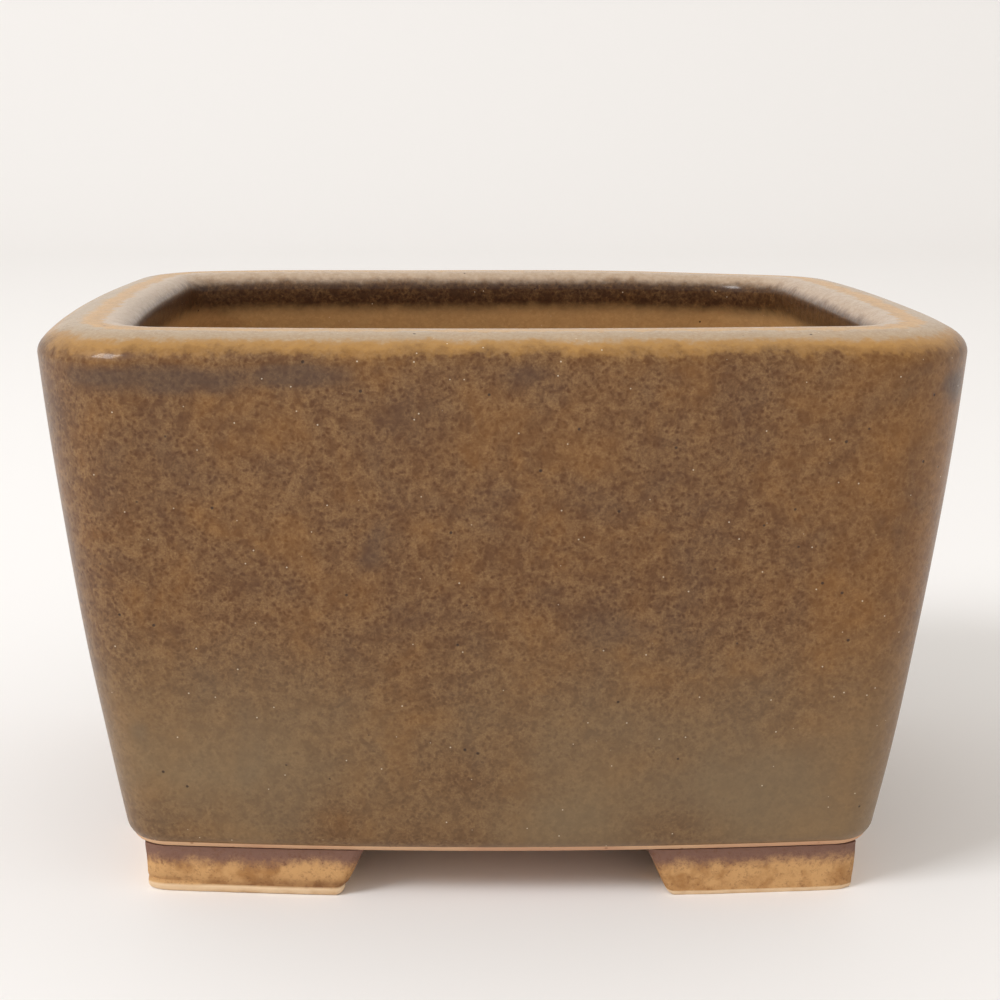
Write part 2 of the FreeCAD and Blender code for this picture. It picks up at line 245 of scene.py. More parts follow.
def loop_faces(rows: int, columns: int, around: bool) -> list[tuple[int, ...]]:
    """Quads that join rows of points, with the last row joined to the first.

    Args:
        rows: number of rows; they close on themselves.
        columns: points in each row.
        around: whether each row closes on itself too; if not, its two ends are capped.

    Returns:
        The faces, turned outward if the rows run anticlockwise seen along the columns.
    """
    faces: list[tuple[int, ...]] = []
    last = columns if around else columns - 1
    for row in range(rows):
        following = (row + 1) % rows
        for column in range(last):
            beside = (column + 1) % columns
            faces.append(
                (
                    row * columns + column,
                    row * columns + beside,
                    following * columns + beside,
                    following * columns + column,
                )
            )
    if not around:
        faces.append(tuple(row * columns for row in range(rows)))
        faces.append(tuple(row * columns + columns - 1 for row in reversed(range(rows))))
    return faces


# -- Finishes ------------------------------------------------


class Bench:
    """The node tree of a new material, and the few kinds of node that the finishes are made of."""

    def __init__(self, name: str) -> None:
        """Starts the material, with places in the object's own millimetres.

        Args:
            name: the material's name.
        """
        self.material = bpy.data.materials.new(name)
        self.material.use_nodes = True
        self.tree = self.material.node_tree
        self.tree.nodes.clear()
        place = add_node(self.tree, "ShaderNodeTexCoord").outputs["Object"]
        scale = {"operation": "SCALE", "Scale": 1 / MM}
        self.mm = add_node(self.tree, "ShaderNodeVectorMath", scale, {0: place}).outputs[0]
        axes = add_node(self.tree, "ShaderNodeSeparateXYZ", None, {0: self.mm}).outputs
        self.sideways, self.height = axes["X"], axes["Z"]

    def node(self, kind: str, settings: dict, inputs: dict) -> bpy.types.Node:
        """Adds a node.

        Args:
            kind: the node's type.
            settings: its properties by name.
            inputs: for each input, a socket to join, a hex colour or a plain number.

        Returns:
            The new node.
        """
        links = {name: value for name, value in inputs.items() if isinstance(value, bpy.types.NodeSocket)}
        fixed = {
            name: linear(value) if isinstance(value, str) else value
            for name, value in inputs.items()
            if name not in links
        }
        return add_node(self.tree, kind, settings | fixed, links)

    def attribute(self, name: str, output: str = "Fac") -> Socket:
        """Reads an attribute of the mesh."""
        return add_node(self.tree, "ShaderNodeAttribute", {"attribute_name": name}).outputs[output]

    def noise(
        self, size: float, detail: float, rough: float = 0.5, bent: float = 0.0, where: Socket | None = None
    ) -> Socket:
        """Noise from 0 to 1.

        Args:
            size: millimetres across its features.
            detail: how many finer layers it has.
            rough: how strong they are.
            bent: how far it is distorted.
            where: places to read it at, if not the object's own.

        Returns:
            The noise.
        """
        settings = {"Scale": 1 / size, "Detail": detail, "Roughness": rough, "Distortion": bent}
        made = add_node(self.tree, "ShaderNodeTexNoise", settings, {"Vector": where or self.mm})
        return made.outputs["Fac"]

    def dots(self, size: float, where: Socket | None = None) -> Socket:
        """Distance to the nearest of many scattered dots, size millimetres apart, in shares of that size."""
        settings = {"feature": "F1", "Scale": 1 / size}
        made = add_node(self.tree, "ShaderNodeTexVoronoi", settings, {"Vector": where or self.mm})
        return made.outputs["Distance"]

    def ramp(self, value: Socket, low: float, high: float, start: float = 0.0, end: float = 1.0) -> Socket:
        """Maps low to start and high to end in a straight line, and stays level beyond them."""
        return self.node("ShaderNodeMapRange", {}, {0: value, 1: low, 2: high, 3: start, 4: end}).outputs[0]

    def rise(self, value: Socket, low: float, high: float, end: float = 1.0) -> Socket:
        """Maps low to 0 and high to end with no kink at either."""
        smooth = {"interpolation_type": "SMOOTHSTEP"}
        return self.node("ShaderNodeMapRange", smooth, {0: value, 1: low, 2: high, 4: end}).outputs[0]

    def reckon(self, operation: str, first: Socket, *second: Socket | float) -> Socket:
        """Adds, multiplies or otherwise works out one number from one or two."""
        terms = dict(enumerate((first, *second)))
        return self.node("ShaderNodeMath", {"operation": operation}, terms).outputs[0]

    def blend(self, share: Socket | float, under: Socket | str, over: Socket | str) -> Socket:
        """Lays one colour over another.

        Args:
            share: how much of the upper colour shows.
            under: the colour below.
            over: the colour above.

        Returns:
            The mixed colour.
        """
        return self.node("ShaderNodeMix", {"data_type": "RGBA"}, {0: share, 6: under, 7: over}).outputs[2]

    def relief(self, height: Socket, strength: float, deep: float, over: Socket | None = None) -> Socket:
        """A fine relief, deep millimetres from low to high, on top of another one if it is given."""
        links = {"Height": height} | ({"Normal": over} if over else {})
        return self.node("ShaderNodeBump", {"Strength": strength, "Distance": deep * MM}, links).outputs[0]

    def done(self, settings: dict, links: dict) -> bpy.types.Material:
        """Closes the tree.

        Args:
            settings: constants of the surface shader.
            links: what its other inputs are joined to.

        Returns:
            The material.
        """
        shader = add_node(self.tree, "ShaderNodeBsdfPrincipled", settings, links)
        add_node(self.tree, "ShaderNodeOutputMaterial", None, {"Surface": shader.outputs[0]})
        return self.material


@dataclass(frozen=True)
class GlazedStoneware:
    """Brown iron glaze, dipped and fired: ochre where it runs thin, violet grey where it lies thick.

    The glaze breaks into red-brown cells under a millimetre across in a paler net. A satin glassy
    coat gives the eye a soft highlight on every rounded edge.
    """

    name: str = "glazed_stoneware_brown"
    spot: str = "#553213"
    net: str = "#8A6842"
    ochre: str = "#946224"
    violet: str = "#46362E"
    olive: str = "#7F6C50"
    milky: str = "#C6AF90"
    lilac: str = "#CDB79F"
    break_line: str = "#D5A35A"
    # Painted shade, partly darker pooled glaze: the dark under the lip and in the pinholes.
    hollow_shade_dark: str = "#2A170D"
    inner_ochre: str = "#D9B47C"
    crystal: str = "#E6D8C0"
    cell_mm: float = 0.62
    clot_mm: float = 1.3
    fleck_mm: float = 0.24
    cloud_mm: float = 7.0
    drift_mm: float = 22.0
    streak_mm: float = 1.6
    pinhole_mm: float = 3.2
    crystal_mm: float = 1.7
    ragged_mm: float = 1.3
    peel_mm: float = 1.9
    roughness: float = 0.42

    def make(self) -> bpy.types.Material:
        """Builds the material.

        Returns:
            The glaze, which reads the coat's own attributes run, pool, thin and rim_place.
        """
        bench = Bench(self.name)
        fleck = bench.noise(self.fleck_mm, 4.0, 0.75)
        cloud = bench.noise(self.cloud_mm, 4.0, 0.6, 0.4)
        run = bench.attribute("run")
        net_mask = self.net_of_cells(bench, fleck)
        wall = self.wall_colour(bench, net_mask, cloud)
        banded = self.rim_bands(bench, wall, run, net_mask, cloud)
        haired = self.hairlines(bench, banded, run)

        # Where an edge is sharp the glaze is thin, and the warm clay shows through.
        thinned = bench.blend(bench.attribute("thin"), haired, self.net)

        # Pinholes and pale crystals, each a fraction of a millimetre; the pinholes are darkened with painted
        # shade.
        pit_mask = bench.rise(bench.dots(self.pinhole_mm), 0.060, 0.030, 0.8)
        pitted = bench.blend(pit_mask, thinned, self.hollow_shade_dark)
        seed_mask = bench.rise(bench.dots(self.crystal_mm), 0.055, 0.030, 0.55)
        colour = bench.blend(seed_mask, pitted, self.crystal)

        # The surface: a shallow orange peel, the cells a little proud, the pinholes sunk.
        peel = bench.relief(bench.noise(self.peel_mm, 2.0), 0.55, 0.10)
        proud = bench.relief(net_mask, 0.35, 0.035, peel)
        sunk = bench.node(
            "ShaderNodeBump",
            {"Strength": 0.8, "Distance": 0.08 * MM, "invert": True},
            {"Height": pit_mask, "Normal": proud},
        ).outputs[0]
        rough = bench.ramp(fleck, 0.3, 0.7, self.roughness - 0.08, self.roughness + 0.10)
        return bench.done(
            {"IOR": 1.5, "Coat Weight": 0.30, "Coat Roughness": 0.12, "Specular IOR Level": 0.18},
            {"Base Color": colour, "Roughness": rough, "Normal": sunk},
        )

    def net_of_cells(self, bench: Bench, fleck: Socket) -> Socket:
        """The paler net round the cells, bent by a finer texture so that no cell is round.

        Args:
            bench: the material in hand.
            fleck: the finest noise.

        Returns:
            0 in a cell and up to 1 in the net.
        """
        bend = {"Scale": 1 / (self.cell_mm * 0.9), "Detail": 2.0}
        drawn = add_node(bench.tree, "ShaderNodeTexNoise", bend, {"Vector": bench.mm}).outputs["Color"]
        middle = {"operation": "SUBTRACT", 1: (0.5, 0.5, 0.5)}
        centred = add_node(bench.tree, "ShaderNodeVectorMath", middle, {0: drawn}).outputs[0]
        push = {"operation": "MULTIPLY_ADD", 1: (self.cell_mm * 1.1,) * 3}
        bent = add_node(bench.tree, "ShaderNodeVectorMath", push, {0: centred, 2: bench.mm}).outputs[0]
        cells = bench.rise(bench.dots(self.cell_mm, bent), 0.02, 0.58)
        clots = bench.ramp(bench.noise(self.clot_mm, 3.0, 0.7, 0.6), 0.36, 0.60, 0.25)
        celled = bench.reckon("MULTIPLY", cells, clots)
        return bench.reckon("MULTIPLY", celled, bench.ramp(fleck, 0.28, 0.66, 0.15))

    def wall_colour(self, bench: Bench, net_mask: Socket, cloud: Socket) -> Socket:
        """The colour away from the rim: cells, clouds of ochre and violet grey, and an olive foot.

        Args:
            bench: the material in hand.
            net_mask: the net.
            cloud: noise some millimetres across.

        Returns:
            The colour.
        """
        net = bench.blend(net_mask, self.spot, self.net)
        ochre = bench.blend(bench.rise(cloud, 0.46, 0.74, 0.26), net, self.ochre)
        ochre = bench.blend(bench.rise(bench.sideways, 22.0, 44.0, 0.30), ochre, self.ochre)
        violet_mask = bench.reckon("MAXIMUM", bench.rise(cloud, 0.50, 0.28, 0.34), bench.attribute("pool"))
        violet = bench.blend(violet_mask, ochre, bench.blend(0.35, self.violet, net))

        # Towards the foot the wall turns olive grey, unevenly.
        uneven = bench.ramp(bench.noise(self.drift_mm, 2.0), 0.35, 0.62, 0.15, 0.85)
        low = bench.reckon("MULTIPLY", bench.rise(bench.height, 34.0, 10.0), uneven)
        return bench.blend(bench.reckon("MULTIPLY", low, 0.75), violet, self.olive)

    def rim_bands(self, bench: Bench, wall: Socket, run: Socket, net_mask: Socket, cloud: Socket) -> Socket:
        """Bands that follow the distance across the rim, with ragged edges.

        Args:
            bench: the material in hand.
            wall: the colour away from the rim.
            run: millimetres across the rim, positive inward.
            net_mask: the net, which shows through the bands.
            cloud: noise some millimetres across.

        Returns:
            The colour.
        """
        ragged = bench.ramp(bench.noise(self.ragged_mm, 4.0, 0.7), 0.25, 0.75, -0.7, 0.7)
        ragged = bench.reckon("ADD", ragged, bench.ramp(cloud, 0.25, 0.75, -0.55, 0.55))
        ragged = bench.reckon("MULTIPLY", ragged, bench.ramp(run, 2.0, 5.0, 1.0, 0.35))
        across = bench.reckon("ADD", run, ragged)
        low, high = -12.0, 28.0
        stops = (
            (-5.4, self.spot, 0.0),
            (-4.4, self.break_line, 0.26),
            (-3.5, self.break_line, 0.50),
            (-2.3, self.milky, 0.70),
            (-0.8, self.milky, 0.74),
            (0.2, self.break_line, 0.84),
            (1.3, self.break_line, 0.74),
            (2.1, self.lilac, 0.84),
            (3.6, self.lilac, 0.74),
            # Painted shade under the lip's nose and in the cove below it, partly darker glaze that pooled
            # there.
            (5.0, self.hollow_shade_dark, 0.76),
            (6.8, self.hollow_shade_dark, 0.90),
            (9.4, self.inner_ochre, 0.70),
            (24.0, self.inner_ochre, 0.76),
        )
        bands = add_node(bench.tree, "ShaderNodeValToRGB", None, {0: bench.ramp(across, low, high)})
        ramp = bands.color_ramp
        while len(ramp.elements) < len(stops):
            ramp.elements.new(0.5)
        for element, (at, colour, weight) in zip(ramp.elements, stops):
            element.position = (at - low) / (high - low)
            element.color = (*linear(colour)[:3], weight)
        ramp.interpolation = "EASE"
        mask = bench.reckon("MULTIPLY", bands.outputs["Alpha"], bench.ramp(net_mask, 0.0, 1.0, 1.0, 0.52))
        return bench.blend(mask, wall, bands.outputs["Color"])

    def hairlines(self, bench: Bench, under: Socket, run: Socket) -> Socket:
        """Fine dark lines down over the end rims, where the glaze drew back as it melted.

        Args:
            bench: the material in hand.
            under: the colour below.
            run: millimetres across the rim, positive inward.

        Returns:
            The colour.
        """
        hair = bench.noise(self.streak_mm, 5.0, 0.75, where=bench.attribute("rim_place", "Vector"))
        from_middle = bench.reckon("ABSOLUTE", bench.sideways)
        ends = bench.reckon("MULTIPLY", bench.rise(run, -9.0, -5.0), bench.rise(from_middle, 37.0, 43.5))
        mask = bench.reckon("MULTIPLY", bench.rise(hair, 0.54, 0.72, 0.50), ends)
        return bench.blend(mask, under, self.violet)


@dataclass(frozen=True)
class BareStoneware:
    """Unglazed stoneware fired pale: a dry, toothy surface with grog specks and a faint pink blush."""

    name: str = "bare_stoneware"
    body: str = "#D2AA86"
    blush: str = "#C79A7A"
    speck: str = "#8C5A38"
    grog_mm: float = 0.5
    blush_mm: float = 9.0
    roughness: float = 0.85

    def make(self) -> bpy.types.Material:
        """Builds the material.

        Returns:
            The bare clay.
        """
        bench = Bench(self.name)
        body = bench.blend(bench.rise(bench.noise(self.blush_mm, 4.0), 0.38, 0.66), self.body, self.blush)
        specked = bench.blend(bench.rise(bench.dots(self.grog_mm * 3), 0.16, 0.06, 0.6), body, self.speck)
        tooth = bench.relief(bench.noise(self.grog_mm, 5.0, 0.7), 0.7, 0.12)
        return bench.done(
            {"Roughness": self.roughness, "IOR": 1.5, "Specular IOR Level": 0.25},
            {"Base Color": specked, "Normal": tooth},
        )


@dataclass(frozen=True)
class WashedStoneware:
    """Bare clay feet with an iron wash that bled down from the glaze: plum at the top, then ochre.

    The arris that stood on the kiln shelf was wiped clean and fires to pale cream.
    """

    name: str = "bare_stoneware_iron_wash"
    plum: str = "#7C5A4C"
    rust: str = "#94622F"
    ochre: str = "#C99B66"
    cream: str = "#E4C59F"
    speck: str = "#6E4424"
    blotch_mm: float = 3.5
    grain_mm: float = 0.55
    foot_height: float = 5.0
    roughness: float = 0.68

    def make(self) -> bpy.types.Material:
        """Builds the material.

        Returns:
            The foot clay, coloured by height above the table, by the attribute wiped, and darkened by painted
            shade in the crease above the arris.
        """
        bench = Bench(self.name)
        broad = bench.noise(self.blotch_mm, 4.0, 0.6)
        fine = bench.noise(self.grain_mm, 6.0, 0.8)
        uneven = bench.ramp(broad, 0.25, 0.75, -0.55, 0.55)
        shifted = bench.reckon("ADD", uneven, bench.ramp(fine, 0.3, 0.7, -0.5, 0.5))
        level = bench.reckon("ADD", bench.height, shifted)
        colour = bench.blend(bench.rise(broad, 0.44, 0.66, 0.72), self.ochre, self.rust)
        plum_mask = bench.rise(level, self.foot_height * 0.52, self.foot_height * 0.88)
        colour = bench.blend(plum_mask, colour, self.plum)
        colour = bench.blend(bench.rise(fine, 0.50, 0.68, 0.55), colour, self.speck)
        # Painted shade in the crease above the wiped arris, laid on in the speck colour.
        crease_shade_uneven = bench.ramp(broad, 0.30, 0.60, 0.25, 0.80)
        crease_shade_mask = bench.reckon("MULTIPLY", bench.attribute("crease_shade"), crease_shade_uneven)
        colour = bench.blend(crease_shade_mask, colour, self.speck)
        colour = bench.blend(bench.attribute("wiped"), colour, self.cream)
        return bench.done(
            {"Roughness": self.roughness, "IOR": 1.5, "Specular IOR Level": 0.35},
            {"Base Color": colour, "Normal": bench.relief(fine, 0.9, 0.16)},
        )


@dataclass(frozen=True)
class BackdropPaper:
    """Seamless matt paper, warm white, swept up behind the pot."""

    name: str = "backdrop_paper"
    colour: str = "#F2F0EF"
    roughness: float = 0.9

    def make(self) -> bpy.types.Material:
        """Builds the material.

        Returns:
            A plain matt white.
        """
        return Bench(self.name).done({"Base Color": linear(self.colour), "Roughness": self.roughness}, {})


# -- The pot's form ------------------------------------------


@dataclass
class PotForm:
    """The shape that every piece of the pot follows, in millimetres, with the potter's unevenness."""

    half_width: float
    half_depth: float
    top: float
    base: float
    floor_top: float
    wall_top: float
    front_bow: float = 350.0
    end_bow: float = 300.0
    glaze: float = 0.4
    base_inset: float = 7.4
    wall_belly: float = 2.6
    shoulder_corner: float = 13.0
    waist_corner: float = 8.2
    base_corner: float = 4.6
    corner_change: dict[Corner, float] = field(
        default_factory=lambda: {
            Corner.FRONT_LEFT: -0.5,
            Corner.FRONT_RIGHT: 0.5,
            Corner.REAR_RIGHT: 3.5,
            Corner.REAR_LEFT: -1.5,
        }
    )
    cavity_top_inset: float = 5.0
    cavity_base_inset: float = 13.2
    cavity_top_corner: float = 8.0
    cavity_base_corner: float = 5.4
    columns_long: int = 66
    columns_end: int = 56
    corner_columns: int = 14
    wobble: float = 0.32
    rim_dips: tuple[tuple[float, float, float, float], ...] = (
        (0.78, 1.0, 0.50, 13.0),
        (-0.97, -0.97, 0.32, 8.0),
        (0.97, -0.97, 0.32, 8.0),
        (-0.6, 1.0, -0.16, 14.0),
    )

    def __post_init__(self) -> None:
        """Draws the noise that shapes the unevenness."""
        self.bend_noise = [SmoothNoise(SEED + axis, 27.0) for axis in range(3)]

    @classmethod
    def from_frame(cls) -> "PotForm":
        """Reads the driving sizes from the CAD nodes.

        Returns:
            The form.
        """
        coat_low, coat_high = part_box("glaze_coat")
        floor_low, floor_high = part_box("floor_slab")
        wall_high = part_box("wall_front")[1]
        rounding_loss = 0.32
        return cls(
            half_width=(coat_high[0] - coat_low[0]) / 2 / MM + rounding_loss,
            half_depth=(coat_high[1] - coat_low[1]) / 2 / MM + rounding_loss,
            top=coat_high[2] / MM,
            base=floor_low[2] / MM,
            floor_top=floor_high[2] / MM,
            wall_top=wall_high[2] / MM,
        )

    def quadrant(self, inset: float, radius: float) -> tuple[np.ndarray, np.ndarray]:
        """One quarter of the plan, in the corner where x and y are positive.

        Args:
            inset: how far the outline lies inside the nominal one.
            radius: plan radius of the corner.

        Returns:
            Points from the middle of the end to the corner's middle, and from there to the middle
            of the long side.
        """
        half_w, half_d = self.half_width - inset, self.half_depth - inset
        right_x, rear_y = self.end_bow - half_w, self.front_bow - half_d
        x, y = half_w - radius, half_d - radius
        for _ in range(12):
            to_rear, to_right = math.hypot(x, y + rear_y), math.hypot(x + right_x, y)
            off_rear = to_rear - (self.front_bow - radius)
            off_right = to_right - (self.end_bow - radius)
            a, b = x / to_rear, (y + rear_y) / to_rear
            c, d = (x + right_x) / to_right, y / to_right
            det = a * d - b * c
            x -= (off_rear * d - off_right * b) / det
            y -= (a * off_right - c * off_rear) / det
        rear, right = math.atan2(y + rear_y, x), math.atan2(y, x + right_x)
        middle = math.pi / 4
        end_turn = np.linspace(0.0, right, self.columns_end - self.corner_columns + 1)
        end = np.c_[-right_x + self.end_bow * np.cos(end_turn), self.end_bow * np.sin(end_turn)]
        turn_a = np.linspace(right, middle, self.corner_columns + 1)[1:]
        corner_a = np.c_[x + radius * np.cos(turn_a), y + radius * np.sin(turn_a)]
        turn_b = np.linspace(middle, rear, self.corner_columns + 1)
        corner_b = np.c_[x + radius * np.cos(turn_b), y + radius * np.sin(turn_b)]
        long_turn = np.linspace(rear, math.pi / 2, self.columns_long - self.corner_columns + 1)[1:]
        long_side = np.c_[self.front_bow * np.cos(long_turn), -rear_y + self.front_bow * np.sin(long_turn)]
        return np.vstack([end, corner_a]), np.vstack([corner_b, long_side])

    def ring(self, inset: float, radius: float, high: float = 0.0) -> np.ndarray:
        """The whole plan outline, anticlockwise from the middle of the front-left corner.

        Args:
            inset: how far the outline lies inside the nominal one.
            radius: plan radius of the corners.
            high: from 0 at the base to 1 at the rim, how much the corners differ from each other.

        Returns:
            One row of x and y for each column.
        """
        fl, fr, rr, rl = (
            [part * corner.value for part in self.quadrant(inset, max(0.6, radius + change * high))]
            for corner, change in self.corner_change.items()
        )
        lines = (fl[1], fr[1][::-1], fr[0][::-1], rr[0], rr[1], rl[1][::-1], rl[0][::-1], fl[0])
        return np.vstack([line[:-1] for line in lines])

    def side_columns(self, side: Side) -> np.ndarray:
        """Which columns of a ring belong to one side, both corner middles included.

        Args:
            side: the side.

        Returns:
            Column numbers in order.
        """
        spans = (2 * self.columns_long, 2 * self.columns_end) * 2
        start = sum(spans[: side.value])
        return np.arange(start, start + spans[side.value] + 1) % sum(spans)

    def wall_inset(self, height: float) -> float:
        """How far the outside has drawn in at a height."""
        fall = (self.top - height) / (self.top - self.base)
        return self.base_inset * fall + self.wall_belly * (fall * fall - fall)

    def wall_corner(self, height: float) -> float:
        """Plan radius of the outside corners at a height."""
        fall = (self.top - height) / (self.top - self.base)
        sag = 2 * (self.shoulder_corner + self.base_corner - 2 * self.waist_corner)
        straight = self.shoulder_corner + (self.base_corner - self.shoulder_corner) * fall
        return straight + sag * (fall * fall - fall)

    def cavity_inset(self, height: float) -> float:
        """How far inside the nominal outline the inner face of the clay wall lies at a height."""
        fall = (self.wall_top - height) / (self.wall_top - self.floor_top)
        return self.cavity_top_inset + (self.cavity_base_inset - self.cavity_top_inset) * fall

    def cavity_corner(self, height: float) -> float:
        """Plan radius of the inside corners at a height."""
        fall = (self.wall_top - height) / (self.wall_top - self.floor_top)
        return self.cavity_top_corner + (self.cavity_base_corner - self.cavity_top_corner) * fall

    def place(self, rows: Iterable[tuple[float, float, float]]) -> np.ndarray:
        """Turns a profile into rings of points, bent as the potter's hands left them.

        Args:
            rows: inset, height and corner radius of each ring.

        Returns:
            Places with rings on the first axis and columns on the second.
        """
        rings = []
        for inset, height, corner in rows:
            high = float(smooth_step(np.array(height), self.base + 8.0, self.top))
            plan = self.ring(inset, corner, high)
            rings.append(np.c_[plan, np.full(len(plan), height)])
        return self.unevenness(np.array(rings))

    def unevenness(self, points: np.ndarray) -> np.ndarray:
        """Bends points by a fraction of a millimetre, and lets the rim sag at its corners.

        Args:
            points: places, with x, y and z on the last axis.

        Returns:
            The places moved.
        """
        amount = self.wobble * smooth_step(points[..., 2], self.base + 2.0, self.base + 22.0)
        moved = points.copy()
        for axis, (noise, share) in enumerate(zip(self.bend_noise, (1.0, 1.0, 0.35))):
            moved[..., axis] += noise(points) * amount * share
        near_rim = smooth_step(points[..., 2], self.wall_top - 12.0, self.top)
        for share_x, share_y, depth, reach in self.rim_dips:
            from_x = points[..., 0] - self.half_width * share_x
            from_y = points[..., 1] - self.half_depth * share_y
            away = np.hypot(from_x, from_y)
            moved[..., 2] -= depth * np.exp(-((away / reach) ** 2)) * near_rim
        return moved


# -- The glaze -----------------------------------------------


@dataclass(frozen=True)
class Pool:
    """A place on the front or an end where the glaze ran thick and dark."""

    x: float
    y: float
    z: float
    reach: tuple[float, float, float]
    depth: float


@dataclass
class GlazeCoat:
    """The coat of glaze: a thin closed skin over the outside, the lip and part of the inside."""

    form: PotForm
    finish: GlazedStoneware = field(default_factory=GlazedStoneware)
    base_round: float = 1.9
    bare_edge: float = 0.35
    crest_reach: float = 4.9
    crest_drop: float = 2.7
    nose_start: float = 6.9
    nose_reach: float = 2.3
    nose_drop: float = 2.0
    nose_face: float = 0.8
    cove: float = 9.5
    inside_drop: float = 20.3
    ring_step: float = 0.75
    mouth_corner: float = 6.1
    streak_stretch: float = 0.15
    pools: tuple[Pool, ...] = (
        Pool(-37.0, -36.0, 53.6, (5.0, 4.0, 1.5), 0.95),
        Pool(-30.0, -38.0, 53.6, (6.5, 4.0, 1.5), 0.90),
        Pool(-20.0, -38.5, 54.0, (6.5, 4.0, 1.2), 0.85),
        Pool(1.3, -39.0, 54.0, (3.6, 4.0, 1.5), 0.55),
        Pool(41.2, -31.5, 52.2, (2.8, 3.6, 1.7), 0.90),
        Pool(-12.6, -37.0, 37.4, (2.0, 4.0, 2.6), 0.75),
        Pool(-35.6, -32.4, 17.9, (1.0, 3.0, 1.3), 0.70),
        Pool(-24.9, -33.0, 17.0, (1.8, 4.0, 6.0), 0.45),
        Pool(24.0, -33.0, 12.5, (11.0, 4.0, 4.5), 0.40),
        Pool(10.5, -36.0, 29.5, (4.0, 4.0, 2.2), 0.45),
        Pool(30.0, 37.0, 44.0, (7.0, 4.0, 5.0), 0.45),
        Pool(-44.0, 8.0, 52.0, (4.0, 12.0, 2.0), 0.60),
        Pool(44.0, -6.0, 40.0, (4.0, 6.0, 7.0), 0.45),
        Pool(-6.0, 38.0, 50.0, (14.0, 4.0, 2.2), 0.55),
    )

    def outside_rows(self) -> list[tuple[float, float, float]]:
        """Rings from the bare edge at the foot of the wall up to the crest."""
        form = self.form
        rows = []
        for turn in np.radians(np.linspace(27.0, 90.0, 8)[:-1]):
            height = form.base + self.base_round * (1 - math.cos(turn))
            drawn = self.base_round * (1 - math.sin(turn))
            rows.append((form.wall_inset(height) + drawn, height, form.wall_corner(height) - drawn))
        low, high = form.base + self.base_round, form.top - self.crest_drop
        count = int((high - low) / self.ring_step)
        for height in np.linspace(low, high, count):
            rows.append((form.wall_inset(height), height, form.wall_corner(height)))
        start_inset, start_corner = rows[-1][0], rows[-1][2]
        for turn in np.radians(np.linspace(0.0, 90.0, 13)[1:]):
            drawn = (self.crest_reach - start_inset) * (1 - math.cos(turn))
            rows.append((start_inset + drawn, high + self.crest_drop * math.sin(turn), start_corner - drawn))
        return rows

    def inside_rows(self) -> list[tuple[float, float, float]]:
        """Rings from the crest over the lip, round its nose and down to the line where the glaze ends."""
        form = self.form
        crest_corner = form.wall_corner(form.top - self.crest_drop) - self.crest_reach
        mouth_inset = self.nose_start + self.nose_reach
        span = mouth_inset - self.crest_reach

        def corner(inset: float) -> float:
            return crest_corner + (self.mouth_corner - crest_corner) * (inset - self.crest_reach) / span

        rows = []
        for inset in np.linspace(self.crest_reach, self.nose_start, 5)[1:]:
            rows.append((inset, form.top, corner(inset)))
        for turn in np.radians(np.linspace(0.0, 90.0, 10)[1:]):
            inset = self.nose_start + self.nose_reach * math.sin(turn)
            rows.append((inset, form.top - self.nose_drop * (1 - math.cos(turn)), corner(inset)))
        mouth_low = form.top - self.nose_drop - self.nose_face
        mouth_turn = corner(mouth_inset)
        for share in np.linspace(0.0, 1.0, 16):
            ease = share * share * (3 - 2 * share)
            height = mouth_low - self.cove * share
            inset = mouth_inset + (form.cavity_inset(height) + form.glaze - mouth_inset) * ease
            turn = mouth_turn + (form.cavity_corner(height) - form.glaze - mouth_turn) * ease
            rows.append((inset, height, turn))
        low = form.top - self.inside_drop
        for height in np.arange(mouth_low - self.cove - self.ring_step, low, -self.ring_step):
            inset = form.cavity_inset(height) + form.glaze
            rows.append((inset, height, form.cavity_corner(height) - form.glaze))
        return rows

    def build(self, material: bpy.types.Material) -> bpy.types.Object:
        """Makes the closed skin and the attributes that its finish reads.

        Args:
            material: the glaze.

        Returns:
            The coat.
        """
        form = self.form
        outer = self.outside_rows()
        rows = outer + self.inside_rows()
        profile = np.array([(inset, height) for inset, height, _ in rows])
        steps = np.hypot(*np.diff(profile, axis=0).T)
        run = np.concatenate([[0.0], np.cumsum(steps)])
        run -= run[len(outer) - 1]
        thick = np.full(len(rows), form.glaze)
        thick[0] = thick[-1] = form.glaze * 0.45
        backing = profile + into_clay(profile) * thick[:, None]
        for row in range(len(outer), len(rows) - 1):
            height = profile[row, 1]
            if height < form.wall_top:
                backing[row] = (form.cavity_inset(height), height)
        back_rows = [
            (inset, height, corner - (inset - front[0]))
            for (inset, height), front, corner in zip(backing, profile, (row[2] for row in rows))
        ]
        kept = sorted({0, 1, *range(2, len(rows) - 2, 2), len(rows) - 2, len(rows) - 1})
        front_points = form.place(rows)
        back_points = form.place([back_rows[k] for k in kept])
        front_points, back_points = self.ragged_ends(front_points, back_points)
        points = np.concatenate([front_points, back_points[::-1]])
        runs = np.concatenate([run, run[kept][::-1]])
        count, columns = points.shape[:2]
        faces = loop_faces(count, columns, around=True)
        made = make_object("glaze_coat_fired", points.reshape(-1, 3), faces, material, sharp=75.0)
        self.paint(made, points, np.repeat(runs, columns))
        return made

    def ragged_ends(self, front: np.ndarray, back: np.ndarray) -> tuple[np.ndarray, np.ndarray]:
        """Lets the two edges of the coat wander, as a dipped edge does.

        Args:
            front: rings of the glazed face.
            back: rings of the face against the clay.

        Returns:
            Both with their end rings shifted along the wall.
        """
        low_noise, inner_noise = SmoothNoise(SEED + 11, 6.0), SmoothNoise(SEED + 12, 8.0)
        for rings in (front, back):
            drift = 0.10 * low_noise(rings[0])
            for ring, share in ((0, 1.0), (1, 0.5)):
                rings[ring, :, 2] += drift * share
            last = len(rings) - 1
            inner = 1.1 * inner_noise(rings[last])
            for ring, share in ((last, 1.0), (last - 1, 0.85), (last - 2, 0.6), (last - 3, 0.3)):
                rings[ring, :, 2] += inner * share
        return front, back

